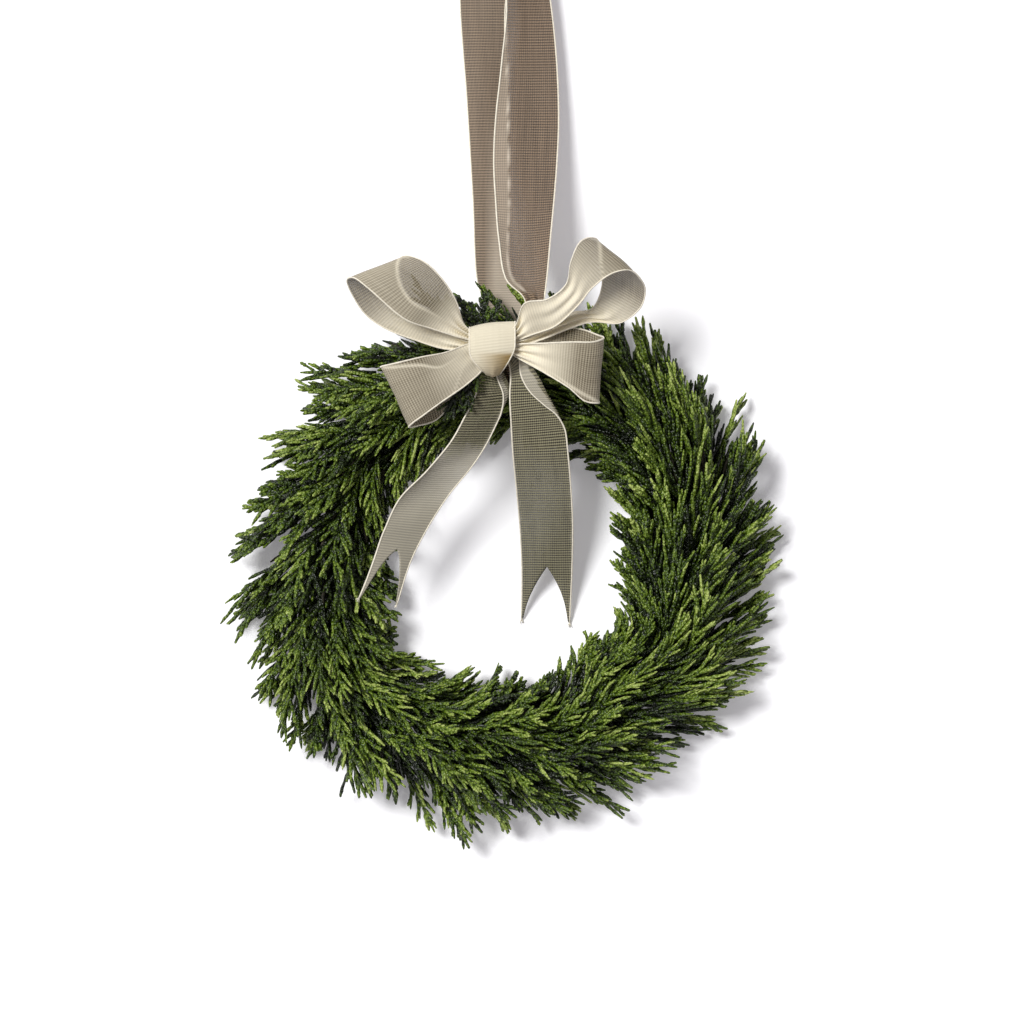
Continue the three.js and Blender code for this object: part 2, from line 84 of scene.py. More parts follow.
def new_material(name, finish):
    """A material whose shader has these plain values: the material's nodes and its shader."""
    material = bpy.data.materials.new(name)
    material.use_nodes = True
    shader = material.node_tree.nodes["Principled BSDF"]
    for socket, value in finish.items():
        shader.inputs[socket].default_value = value
    return material, material.node_tree, shader


def as_mesh(name, bm):
    """The bmesh's shape as a mesh; the bmesh is done with."""
    mesh = bpy.data.meshes.new(name)
    bm.to_mesh(mesh)
    bm.free()
    return mesh


world = bpy.data.worlds.new("studio")
world.use_nodes = True
world.node_tree.nodes["Background"].inputs["Color"].default_value = (*SHADE_TINT, 1)
world.node_tree.nodes["Background"].inputs["Strength"].default_value = SURROUND
scene.world = world

lamp = bpy.data.objects.new("lamp", bpy.data.lights.new("lamp", "SUN"))
lamp.data.energy = LAMP_STRENGTH
lamp.data.angle = math.radians(LAMP_SPREAD)
lamp.rotation_euler = Vector(LAMP_FROM).to_track_quat("Z", "Y").to_euler()
scene.collection.objects.link(lamp)

bm = bmesh.new()
bmesh.ops.create_grid(bm, x_segments=1, y_segments=1, size=FLOOR_SIDE / 2)
floor = bpy.data.objects.new("floor", as_mesh("floor", bm))
scene.collection.objects.link(floor)
paper = {
    "Base Color": (0.93, 0.93, 0.94, 1), "Roughness": 0.9,
    "Emission Color": (*SHADE_TINT, 1), "Emission Strength": FLOOR_GLOW,
}
floor.data.materials.append(new_material("paper_white", paper)[0])

# The ring: one round of 3 mm steel wire under dark green lacquer, which the bunches are bound to.
# It is the solid's own shape, with the lacquer's slight mottle and its rubbed, duller stretches.
RING_GREENS = (0.008, 0.016, 0.008), (0.022, 0.040, 0.020)
RING_GRAIN = 300  # grains of mottle to a metre
RUNS = 4  # how much finer the lacquer's unevenness is than its mottle


def add_node(tree, kind, inputs=None, **settings):
    """A node with its settings made and its inputs linked or set."""
    node = tree.nodes.new("ShaderNode" + kind)
    for name, value in settings.items():
        setattr(node, name, value)
    for name, value in (inputs or {}).items():
        if isinstance(value, bpy.types.NodeSocket):
            tree.links.new(value, node.inputs[name])
        else:
            node.inputs[name].default_value = value
    return node


def math_node(tree, operation, *values):
    """The result of a sum worked out by a Math node."""
    return add_node(tree, "Math", dict(enumerate(values)), operation=operation).outputs[0]


def ramp(tree, factor, stops):
    """The colour that a ramp gives for factor; stops are (place, colour)."""
    node = add_node(tree, "ValToRGB", {"Fac": factor})
    elements = node.color_ramp.elements
    while len(elements) < len(stops):
        elements.new(0.5)
    for element, (at, colour) in zip(elements, stops):
        element.position = at
        element.color = (*colour, 1)
    return node.outputs["Color"]


def object_noise(tree, scale, detail=3):
    """Noise over the object's own coordinates, in grains of about a metre over scale."""
    where = add_node(tree, "TexCoord").outputs["Object"]
    return add_node(tree, "TexNoise", {"Vector": where, "Scale": scale, "Detail": detail}).outputs["Fac"]


def bump(tree, height, distance, strength=1.0):
    """The surface's normal where height raises it by up to distance, in metres."""
    inputs = {"Height": height, "Distance": distance, "Strength": strength}
    return add_node(tree, "Bump", inputs).outputs["Normal"]


def dress(tree, shader, colour, normal):
    """Gives a material's shader its colour and the normal of its surface."""
    tree.links.new(colour, shader.inputs["Base Color"])
    tree.links.new(normal, shader.inputs["Normal"])


def lacquered(name, colours, grain):
    """Wire under lacquer: mottled colour and gloss, and a fine unevenness."""
    material, tree, shader = new_material(name, {"Metallic": 0.35, "Coat Weight": 0.3})
    mottle = object_noise(tree, grain)
    colour = ramp(tree, mottle, ((0.3, colours[0]), (0.7, colours[1])))
    rough = add_node(tree, "MapRange", {"Value": mottle, "To Min": 0.3, "To Max": 0.6})
    tree.links.new(rough.outputs["Result"], shader.inputs["Roughness"])
    dress(tree, shader, colour, bump(tree, object_noise(tree, grain * RUNS), distance=0.1 * MM))
    return material


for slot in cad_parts["wire_ring"].material_slots:
    slot.material = lacquered("ring_lacquer", RING_GREENS, RING_GRAIN)

# The juniper: sixteen bunches of scale-leaved sprays. Each fans out of its bound stems from the
# outside of the ring over the crown to the inside, and its tips lie over the next bunch's stems.
BUNCHES = 16
FIRST_BUNCH = 92  # degrees round the ring from +X
RING_RADIUS = 76
BUNDLE_HEIGHT = 7.7  # of the bound stems' middle over the floor
BUNDLE_ARCH = (-20, 200)  # degrees round the bundle, from its outermost spray to its innermost one
BUNDLE_ROUND = (2.2, 1.6)  # how far the sprays start from its middle, across and up
BUNDLE_STAGGER = 0.4  # how much lower every second spray starts
STEM_OFFSET = 4  # from the binding to where the sprays part
FAN_STEPS = 12  # steps along each spray's line
REACH_RANGE = (0.94, 1.06)  # how far a spray's length may be from the one that is given
HOLE_RADIUS = 46.5
FLOOR_CLEARANCE = 0.9
RIBBON_CLEARANCE = 1.7
SHOOT_RADIUS = 0.86

# Where each spray heads across the ring's run (out is positive) and how steeply it climbs, at its
# root and at its tip, in degrees, and its length.
SPRAYS = (
    ((34, 58), (-4, 0), 50),
    ((26, 50), (12, 2), 60),
    ((14, 36), (26, 8), 68),
    ((0, 14), (36, 10), 72),
    ((-12, -26), (28, 6), 58),
    ((-26, -40), (12, 0), 41),
    ((-36, -50), (-3, 0), 30),
)

# The layers of branchlets in a bunch, from the lowest up: how many, where along the fan they start
# and end, how high their tips stand over its surface, the range of their green's tone, and how many
# side shoots each has. The lower layers' tones are darker, as painted shade deep in the bunch; within
# a layer each branchlet's tone is drawn at random.
LAYERS = (
    (10, (0, 0.2), (0.6, 0.9), (-12, -7), (-0.15, 0.05), 8),
    (14, (0.1, 0.3), (0.7, 0.97), (-5, -2), (0, 0.25), 9),
    (15, (0.2, 0.45), (0.74, 1.02), (-1.5, 1), (0.15, 0.45), 9),
    (19, (0.35, 0.62), (0.84, 1.1), (1, 4), (0.35, 0.75), 10),
)
BRANCHLET_STEPS = 6
FAN_SIDES = (-0.04, 1.04)  # a little past the two sides of the fan
PLACE_RANGE = (0.1, 0.9)  # where in its own share of a layer a branchlet lies
DRIFT = 0.06  # how far across the fan a branchlet may stray
ROLL = 0.7  # how far its plane may lean to a side
WANDER = 9  # degrees that a branchlet may stand round the ring from its bunch's own place

# How far the foliage's outer and inner edges stand out from an even ring, at every 24 degrees
# round it from +X, and the radii where each counts in full.
OUTER_SHIFTS = (-0.5, 5.5, 5.5, 5, 2, 8, 1, 3, 5, 5.5, 1, -2, -3, -6, -0.5)
INNER_SHIFTS = (-5.5, 0.5, 7, 5, 5, 4.2, 1.5, -5, -1.5, 6, -1, -9, -2.5, -7.5, 1)
INNER_EDGE, OUTER_EDGE = 51, 110


class Draw:
    """Repeatable random numbers: the same seed always gives the same wreath."""
    FACTOR, STEP, LIMIT = 1664525, 1013904223, 2 ** 32

    def __init__(self, seed):
        self.state = seed

    def between(self, low, high):
        self.state = (self.state * self.FACTOR + self.STEP) % self.LIMIT
        return low + (high - low) * self.state / self.LIMIT


def lerp(a, b, share):
    return a + (b - a) * share


def grown(point):
    """A point of an even ring of foliage, put where the foliage really grew."""
    radius = math.hypot(point.x, point.y)
    turn = math.atan2(point.y, point.x) / (2 * math.pi) % 1 * len(OUTER_SHIFTS)
    here, there = int(turn) % len(OUTER_SHIFTS), (int(turn) + 1) % len(OUTER_SHIFTS)
    outer = lerp(OUTER_SHIFTS[here], OUTER_SHIFTS[there], turn % 1)
    inner = lerp(INNER_SHIFTS[here], INNER_SHIFTS[there], turn % 1)
    reach = min(1, max(0, (radius - INNER_EDGE) / (OUTER_EDGE - INNER_EDGE)))
    factor = 1 + lerp(inner, outer, reach) / radius
    return Vector((point.x * factor, point.y * factor, point.z))


def fan_line(start, splay, climb, length):
    """Steps from start along a heading that turns with the ring, from its first splay and climb,
    in degrees, to its last ones."""
    here = start.copy()
    line = [here.copy()]
    stride = length / FAN_STEPS
    for step in range(FAN_STEPS):
        share = (step + 0.5) / FAN_STEPS
        across = math.radians(lerp(*splay, share))
        rise = math.radians(lerp(*climb, share))
        out = Vector((here.x, here.y, 0)).normalized()
        here += stride * math.cos(rise) * math.sin(across) * out
        here += stride * math.cos(rise) * math.cos(across) * Vector((-out.y, out.x, 0))
        here.z += stride * math.sin(rise)
        line.append(here.copy())
    return line


class Fan:
    """The surface that a bunch's sprays flow along: u from the stems to the tips, and v from the
    outside of the ring to the inside."""

    def __init__(self, theta, draw):
        angle = math.radians(theta) + STEM_OFFSET / RING_RADIUS
        count = 2 * len(SPRAYS) - 1
        self.lines = []
        for k in range(count):
            splay, climb, length = SPRAYS[k // 2]
            next_splay, next_climb, next_length = SPRAYS[(k + 1) // 2]
            arch = math.radians(lerp(*BUNDLE_ARCH, k / (count - 1)))
            radius = RING_RADIUS + BUNDLE_ROUND[0] * math.cos(arch)
            height = BUNDLE_HEIGHT + BUNDLE_ROUND[1] * math.sin(arch) - BUNDLE_STAGGER * (k % 2)
            start = Vector((radius * math.cos(angle), radius * math.sin(angle), height))
            reach = (length + next_length) / 2 * draw.between(*REACH_RANGE)
            splay = [(a + b) / 2 for a, b in zip(splay, next_splay)]
            climb = [(a + b) / 2 for a, b in zip(climb, next_climb)]
            self.lines.append(fan_line(start, splay, climb, reach))

    def at(self, u, v):
        """The point at u and v."""
        def on(line):
            step = min(max(int(u * FAN_STEPS), 0), FAN_STEPS - 1)
            return line[step].lerp(line[step + 1], u * FAN_STEPS - step)

        across = v * (len(self.lines) - 1)
        k = min(max(int(across), 0), len(self.lines) - 2)
        return on(self.lines[k]).lerp(on(self.lines[k + 1]), across - k)

    def up(self, u, v):
        """The way out of the surface at u and v."""
        near = 0.05
        along = self.at(u + near, v) - self.at(u - near, v)
        across = self.at(u, v + near) - self.at(u, v - near)
        return along.cross(across).normalized()


# One shoot, a unit long and wide, is a cord of scale leaves in four rows, with a blunt tip. All the
# juniper is copies of it, bent and turned each its own way, and short shoots have fewer rings.
SHOOT_SIDES = 4
LONG_RINGS, SHORT_RINGS = 7, 4
SHORT = 12  # length under which a shoot is a short one
SCALE_OUT, SCALE_IN = 1.28, 0.92  # a scale's outer end, and the hollow between two scales
SHOOT_FOOT, SHOOT_TIP = 0.75, 0.5
BODY_START, BODY_TAPER = 1.08, 0.3
TIP_POINT = 0.04  # how far the blunt tip is drawn out


def shoot_mesh(rings):
    """A shoot with so many rings of scales, from the origin up to a height of 1."""
    shoot = bmesh.new()
    bmesh.ops.create_cone(shoot, cap_ends=True, segments=SHOOT_SIDES, radius1=1, radius2=1, depth=1)
    bmesh.ops.translate(shoot, verts=shoot.verts, vec=(0, 0, 0.5))
    flanks = [edge for edge in shoot.edges if abs(edge.verts[0].co.z - edge.verts[1].co.z) > 0.5]
    bmesh.ops.subdivide_edges(shoot, edges=flanks, cuts=rings - 1, use_grid_fill=True)
    for vert in shoot.verts:
        ring = round(vert.co.z * rings)
        corner = round(math.atan2(vert.co.y, vert.co.x) / (2 * math.pi / SHOOT_SIDES))
        scale = SCALE_OUT if (corner + ring) % 2 else SCALE_IN
        taper = BODY_START - BODY_TAPER * vert.co.z
        if ring in (0, rings):
            taper = SHOOT_TIP if ring else SHOOT_FOOT
        vert.co.x *= scale * taper
        vert.co.y *= scale * taper
    tip = [face for face in shoot.faces if face.normal.z > 0.9]
    poked = bmesh.ops.poke(shoot, faces=tip)
    bmesh.ops.translate(shoot, verts=poked["verts"], vec=(0, 0, TIP_POINT))
    return as_mesh("shoot", shoot)


long_shoot, short_shoot = shoot_mesh(LONG_RINGS), shoot_mesh(SHORT_RINGS)

# The sprays are kept clear of the hanging loop's and the tails' solids.
CHECKED = (0.4, 0.7, 1.0)  # where along a shoot its place is looked at
ribbon_solids = []
for name in ("ribbon_hanger", "ribbon_tails"):
    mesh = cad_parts[name].data
    faces = [tuple(polygon.vertices) for polygon in mesh.polygons]
    ribbon_solids.append(BVHTree.FromPolygons([vert.co for vert in mesh.vertices], faces))


def is_free(root, way, bend):
    """A shoot has to stay out of the hole, over the floor and clear of the ribbons."""
    for share in CHECKED:
        point = root + way * share + bend * share * share
        if point.z < FLOOR_CLEARANCE + SHOOT_RADIUS or math.hypot(point.x, point.y) < HOLE_RADIUS:
            return False
        where = place(grown(point))
        if any(tree.find_nearest(where, RIBBON_CLEARANCE * MM)[0] for tree in ribbon_solids):
            return False
    return True


def add_shoot(bm, root, way, radius, bend, tones, draw):
    """Puts one shoot from root along way, curved by bend towards its tip. Its two tones set its green at
    its root and at its tip: lighter towards young tips, and darker, as painted shade, low in the bunch."""
    layer = bm.verts.layers.float["tone"]
    template = short_shoot if way.length < SHORT else long_shoot
    bm.from_mesh(template)
    bm.verts.ensure_lookup_table()
    turn = way.to_track_quat("Z", "Y").to_matrix().to_4x4()
    roll = Matrix.Rotation(draw.between(0, 2 * math.pi), 4, "Z")
    size = Matrix.Diagonal((radius, radius, way.length, 1))
    matrix = Matrix.Translation(root) @ turn @ roll @ size
    for vert in bm.verts[-len(template.vertices):]:
        along = vert.co.z
        vert[layer] = lerp(*tones, along)
        vert.co = place(grown(matrix @ vert.co + bend * along * along))


# A branchlet is a leader of a few shoots that follow each other, with side shoots, and forks on
# those. A side shoot's lean and length go by the habit, and the last one is the shortest.
STRETCHES, STRETCH_OVERLAP = 3, 1.05
LEADER_GIRTH, SIDE_GIRTH, FORK_GIRTH = (0.9, 1.05), (0.8, 1.05), 0.8
SIDES_ALONG = (0.05, 0.85)  # the share of a leader that has side shoots
SIDE_PLACE_RANGE = (0.2, 0.8)
LEAN, LEAN_RANGE = (17, 32), (-6, 10)  # degrees between a side shoot and its leader
SIDE_LENGTH, LAST_LENGTH, LENGTH_RANGE = (0.46, 0.33), 0.45, (0.7, 1.25)
RISE_RANGE = (-0.15, 0.28)
SWEEP, CURL_RANGE = 0.16, (-0.04, 0.14)  # how a side shoot bends along its leader and back to it
# Leaders, and the feet of side shoots and forks, are painted darker than the tips: partly older growth,
# and partly painted shade under the shoots over them.
LEADER_TONE, LEADER_TIPWARD_LIGHTENING = -0.35, 0.4
SIDE_TONE_RANGE, SIDE_TONES = 0.25, (-0.35, 0.2)
FORKS, FORK_CHANCE = (0.3, 0.5, 0.68), (0.22, 0.42)
FORK_SIDEWAYS, FORK_RISE, FORK_LENGTH, FORK_BEND = (-0.6, 0.6), (-0.3, 0.4), (0.25, 0.45), 0.4
FORK_FOOT_TONE, FORK_TIP_TONE = -0.15, (0.1, 0.3)


def add_branchlet(bm, path, up, habit, tone, shoots, draw):
    """A leader along path with side shoots by turns to its left and right, some of them forked.
    Its habit is 0 where they are long and lie close along it, and 1 where they are short and wide."""
    near = 0.05
    length = sum((b - a).length for a, b in zip(path, path[1:]))

    def on(share):
        step = min(int(share * (len(path) - 1)), len(path) - 2)
        return path[step].lerp(path[step + 1], share * (len(path) - 1) - step)

    for stretch in range(STRETCHES):
        start, middle, end = (on((stretch + part) / STRETCHES) for part in (0, 0.5, 1))
        way = (middle - start) * (2 * STRETCH_OVERLAP)
        bend = (end - start) * STRETCH_OVERLAP - way
        if not is_free(start, way, bend):
            return
        tones = [tone + LEADER_TONE + LEADER_TIPWARD_LIGHTENING * (stretch + part) / STRETCHES for part in (0, 1)]
        add_shoot(bm, start, way, SHOOT_RADIUS * draw.between(*LEADER_GIRTH), bend, tones, draw)
    side = draw.between(0, 1) > 0.5
    for k in range(shoots):
        side = not side
        share = lerp(*SIDES_ALONG, (k + draw.between(*SIDE_PLACE_RANGE)) / shoots)
        root = on(share)
        along = (on(min(share + near, 1)) - on(share - near)).normalized()
        outward = up.cross(along).normalized() * (1 if side else -1)
        lean = math.radians(lerp(*LEAN, habit) + draw.between(*LEAN_RANGE))
        reach = length * lerp(*SIDE_LENGTH, habit) * lerp(1, LAST_LENGTH, share)
        reach *= draw.between(*LENGTH_RANGE)
        rise = draw.between(*RISE_RANGE)
        way = (along * math.cos(lean) + outward * math.sin(lean) + up * rise) * reach
        bend = along * SWEEP * reach - outward * draw.between(*CURL_RANGE) * reach
        side_tone = tone + draw.between(-SIDE_TONE_RANGE, SIDE_TONE_RANGE)
        if not is_free(root, way, bend):
            continue
        girth = SHOOT_RADIUS * draw.between(*SIDE_GIRTH)
        add_shoot(bm, root, way, girth, bend, [side_tone + change for change in SIDE_TONES], draw)
        for part in FORKS:
            if draw.between(0, 1) < lerp(*FORK_CHANCE, habit):
                fork = root + way * part + bend * part * part
                away = way.normalized() + outward * draw.between(*FORK_SIDEWAYS)
                away += up * draw.between(*FORK_RISE)
                away = away.normalized() * reach * draw.between(*FORK_LENGTH)
                if is_free(fork, away, bend * FORK_BEND):
                    tones = (side_tone + FORK_FOOT_TONE, side_tone + draw.between(*FORK_TIP_TONE))
                    girth = SHOOT_RADIUS * FORK_GIRTH
                    add_shoot(bm, fork, away, girth, bend * FORK_BEND, tones, draw)


# Scale leaves are painted bright on their raised middles and nearly black in the gaps between them:
# a painted highlight and painted shade.
SCALE_LEAF = 1.2  # length of one scale leaf
LEAF_GRAIN, LEAF_MOTTLE = 260, 0.5  # grains to a metre, and how far they change the freshness
LEAF_MIDDLE, LEAF_PAINTED_SHADE = 0.45, 0.75
BARK_GRAIN = 500

juniper, tree, shader = new_material("juniper", {"Roughness": 0.38, "Specular IOR Level": 0.5})
tone = add_node(tree, "Attribute", attribute_name="tone").outputs["Fac"]
where = add_node(tree, "TexCoord").outputs["Object"]
leaf = add_node(tree, "TexVoronoi", {"Vector": where, "Scale": 1 / (SCALE_LEAF * MM)}).outputs["Distance"]
grain = object_noise(tree, LEAF_GRAIN, detail=2)
mottle = math_node(tree, "MULTIPLY", math_node(tree, "SUBTRACT", grain, 0.5), LEAF_MOTTLE)
# Painted highlight on each scale's middle and painted shade in the gaps between the scales.
relief_and_gap_shade = math_node(tree, "MULTIPLY", math_node(tree, "SUBTRACT", LEAF_MIDDLE, leaf), LEAF_PAINTED_SHADE)
green_and_shade = math_node(tree, "ADD", math_node(tree, "ADD", tone, mottle), relief_and_gap_shade)
leaf_colour = ramp(tree, green_and_shade, (
    (0.0, (0.003, 0.007, 0.000)),
    (0.35, (0.040, 0.074, 0.002)),
    (0.65, (0.130, 0.200, 0.012)),
    (1.0, (0.380, 0.460, 0.115)),
))
scales = bump(tree, math_node(tree, "SUBTRACT", 1, leaf), distance=SCALE_LEAF * MM, strength=0.8)
dress(tree, shader, leaf_colour, scales)

# The stems' bark is darkened almost to black: partly its own dark brown, partly painted shade deep under
# the sprays.
bark, tree, shader = new_material("juniper_bark", {"Roughness": 0.8})
streaks = object_noise(tree, BARK_GRAIN)
bark_and_shade_colour = ramp(tree, streaks, ((0.3, (0.010, 0.009, 0.004)), (0.7, (0.040, 0.032, 0.014))))
dress(tree, shader, bark_and_shade_colour, bump(tree, streaks, distance=0.4 * MM))


def finished(name, bm, material):
    """The bmesh as an object of the scene that rides on the wreath."""
    mesh = as_mesh(name, bm)
    mesh.materials.append(material)
    mesh.shade_smooth()
    made = bpy.data.objects.new(name, mesh)
    scene.collection.objects.link(made)
    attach(made, "root")
    return made


FIRST_SEED, SEED_STEP = 101, 37
LEFT_SIDE = 170  # degrees round the ring where the side shoots are shortest and stand widest

# Each bunch has bare stems under its binding, and inner twigs that its sprays grow from.
STEMS = 7
STEM_SPREAD = 1.9
STEM_START, STEM_END = (7, 10), 9  # before and past the binding
STEM_GIRTH, TWIG_GIRTH = 0.95, 0.8
TWIG_STEPS, TWIG_STRIDE = 8, 2  # the stretch of a spray's line that has twigs, and each one's length
TWIG_SUNK, TWIG_OVERLAP = 2.0, 1.05

# A few sprays of the first bunch lie over the ribbons: over the foot of the hanging loop, and over
# the left tail's edge below the knot. Each is given by points along its leader.
OVER_RIBBONS = (
    ((-13, 99, 50.5), (-17, 106.5, 51.5), (-21.5, 113.5, 52)),
    ((-9, 100, 51.5), (-10.5, 108.5, 52), (-9.5, 116.5, 51.5)),
    ((-10, 99, 51), (-14.5, 106, 52.5), (-15, 112, 52)),
    ((-6, 100, 51.5), (-5.5, 105, 52), (-4.5, 109, 51)),
    ((-8, 103, 52), (-5, 108, 52.5), (-3.5, 113, 52)),
    ((-13, 86, 54), (-19, 74, 54.5), (-23, 61, 53)),
    ((-15, 85, 53), (-20.5, 73, 53.5), (-25.5, 60, 52)),
    ((-11.5, 84, 54.5), (-15.5, 73, 54.5), (-17.5, 63, 53.5)),
)
OVER_TONE, OVER_HABIT, OVER_SHOOTS = 0.15, 0.8, 8

stems = bmesh.new()
stems.verts.layers.float.new("tone")
for bunch in range(BUNCHES):
    theta = FIRST_BUNCH + 360 / BUNCHES * bunch
    habit = 0.5 + 0.5 * math.cos(math.radians(theta - LEFT_SIDE))
    draw = Draw(FIRST_SEED + SEED_STEP * bunch)
    fan = Fan(theta, draw)
    bm = bmesh.new()
    bm.verts.layers.float.new("tone")
    for count, start, end, lift_range, tone_range, shoots in LAYERS:
        for k in range(count):
            v = lerp(*FAN_SIDES, (k + draw.between(*PLACE_RANGE)) / count)
            u_start, u_end = draw.between(*start), draw.between(*end)
            drift = draw.between(-DRIFT, DRIFT)
            lift = draw.between(*lift_range)
            spin = Matrix.Rotation(math.radians(draw.between(-WANDER, WANDER)), 3, "Z")
            path = []
            for step in range(BRANCHLET_STEPS + 1):
                u = lerp(u_start, u_end, step / BRANCHLET_STEPS)
                here = v + drift * step / BRANCHLET_STEPS
                risen = fan.up(u, here) * lift * step / BRANCHLET_STEPS
                path.append(spin @ (fan.at(u, here) + risen))
            up = spin @ fan.up((u_start + u_end) / 2, v)
            sideways = up.cross(path[-1] - path[0]).normalized()
            up = (up + sideways * draw.between(-ROLL, ROLL)).normalized()
            add_branchlet(bm, path, up, habit, draw.between(*tone_range), shoots, draw)
    for points in OVER_RIBBONS if bunch == 0 else ():
        path = [Vector(point) for point in points]
        add_branchlet(bm, path, Vector((0, 0, 1)), OVER_HABIT, OVER_TONE, OVER_SHOOTS, draw)
    piece = finished(f"bunch_{bunch + 1:02d}_sprays", bm, juniper)
    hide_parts(f"bunch_{bunch + 1:02d}")
    for k in range(STEMS):
        turn = 2 * math.pi * k / (STEMS - 1)
        spread = 0 if k == STEMS - 1 else STEM_SPREAD
        ends = []
        for along in (-draw.between(*STEM_START), STEM_END):
            angle = math.radians(theta) + along / RING_RADIUS
            radius = RING_RADIUS + spread * math.cos(turn)
            height = BUNDLE_HEIGHT + spread * math.sin(turn)
            ends.append(Vector((radius * math.cos(angle), radius * math.sin(angle), height)))
        add_shoot(stems, ends[0], ends[1] - ends[0], STEM_GIRTH, Vector(), (0, 0), draw)
    for k in range(STEMS):
        line = fan.lines[2 * k]
        for step in range(0, TWIG_STEPS, TWIG_STRIDE):
            way = (line[step + TWIG_STRIDE] - line[step]) * TWIG_OVERLAP
            root = line[step] - Vector((0, 0, TWIG_SUNK))
            add_shoot(stems, root, way, TWIG_GIRTH, Vector(), (0, 0), draw)
piece = finished("juniper_stems", stems, bark)

# The binding wire: green paddle wire wound over each bunch's stems and along under the ring. It is
# the solid's own shape, in a lacquer of a fresher green and a finer grain than the ring's.
WIRE_GREENS = (0.010, 0.030, 0.012), (0.030, 0.075, 0.032)
WIRE_GRAIN = 800

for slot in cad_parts["binding_wire"].material_slots:
    slot.material = lacquered("wire_lacquer", WIRE_GREENS, WIRE_GRAIN)

# The hanging loop: one length of inch-wide organza, tied under the knot, up as the front strand,
# over, down behind as the back strand, round the ring through the hole and back to the knot.
RIBBON_WIDTH = 25.4
CLOTH = 0.18  # thickness of the organza
SELVAGE = 0.38  # radius of its corded edges
MEASURES = 200  # steps along a ribbon at which its length is measured
NOTCH_CURVE = 0.62  # below 1, a swallow tail has slender tips
BLUNT = 0.1  # share of a tail's half width that its tips keep
PLEATS = 2.5  # waves across the ribbon where it is gathered
PLEAT_SHIFT = 0.1  # how far they are moved on from one ribbon to the next
PLEAT_POWER = 4  # the higher, the more the pleats keep to the tightest places
PLEAT_ROOM = 10  # height over the floor from which pleats stand up fully
CRUMPLE_LENGTH, CRUMPLE_ACROSS = 16, 1.7  # a soft dent's length, and how many lie side by side
RIGHT_EDGE = 1.001  # a little over 1, so that nothing is divided by 0 where there is no fold
WEFT, WARP = 1.2, 0.92  # pitch of the threads across and along the ribbon that show
LOOSE, LOOSE_TO_TIGHT = 0.15, 0.42  # slack where the ribbon starts to look pale, and on to its palest


def seen(point):
    """A point of the ribbon's outline, drawn in by what its height makes the camera show it larger."""
    nearer = (point[2] - WREATH_HEIGHT) / STAND_OFF
    x, y = (lerp(value, middle, nearer) for value, middle in zip(point, PICTURE_MIDDLE))
    return Vector((x, y, point[2]))


def through(points, t):
    """The point at t on a smooth curve through points, which doesn't overshoot at close ones."""
    last = len(points) - 1
    k = min(int(t * last), last - 1)
    before = points[k - 1] if k else 2 * points[0] - points[1]
    after = points[k + 2] if k + 2 <= last else 2 * points[last] - points[last - 1]
    four = (before, points[k], points[k + 1], after)
    gaps = [max(math.sqrt((b - a).length), 1e-4) for a, b in zip(four, four[1:])]
    slope, end_slope = (
        ((b - a) / first - (c - a) / (first + second) + (c - b) / second) * gaps[1]
        for (a, b, c), first, second in ((four[:3], gaps[0], gaps[1]), (four[1:], gaps[1], gaps[2]))
    )
    share = t * last - k
    here, there = four[1], four[2]
    curve = (2 * here - 2 * there + slope + end_slope) * share
    curve = (curve + 3 * there - 3 * here - 2 * slope - end_slope) * share
    return here + (curve + slope) * share


